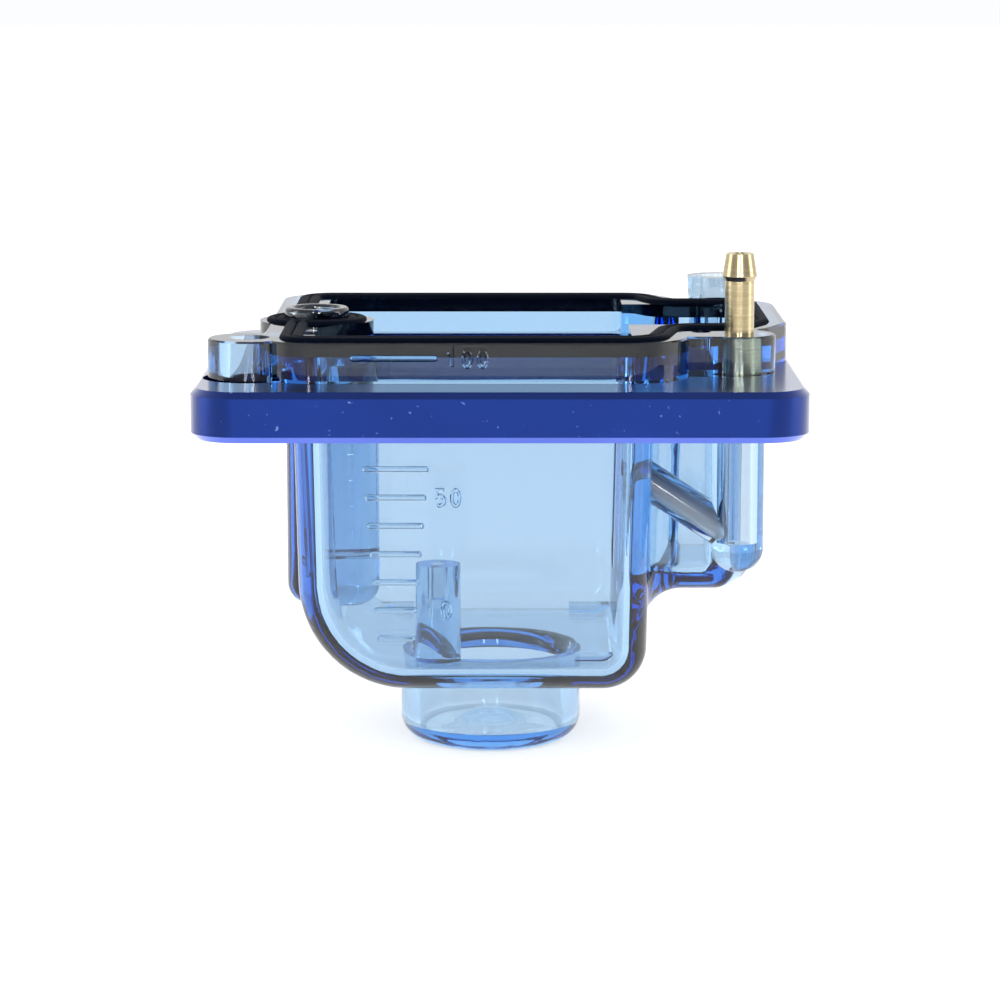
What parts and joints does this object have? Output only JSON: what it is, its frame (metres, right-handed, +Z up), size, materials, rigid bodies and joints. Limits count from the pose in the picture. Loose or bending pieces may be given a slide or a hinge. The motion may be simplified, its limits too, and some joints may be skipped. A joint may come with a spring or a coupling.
{
  "type": "carburettor float bowl",
  "caption": "Clear blue moulded float bowl with a level scale, seated in an aluminium clamp ring, with a rim gasket and a brass hose barb.",
  "frame": {"origin": "on the bench, at the level of the sump's flat bottom, under the centre of the clamp ring", "axes": "+Z up out of the bowl's mouth, +X across the front from the starter well to the hose barb, +Y from the front with the scale to the back"},
  "size_m": [0.068, 0.062, 0.0585],
  "materials": {
    "clear_blue_plastic": "polished clear moulding, tinted blue",
    "anodised_aluminium": "satin blue anodised, machined",
    "nitrile_rubber": "moulded, semi-matt black",
    "turned_brass": "turned, bright"
  },
  "bodies": {
    "root": {"bowl": "clear_blue_plastic", "clamp_ring": "anodised_aluminium", "gasket": "nitrile_rubber", "hose_barb": "turned_brass"}
  },
  "joints": []
}
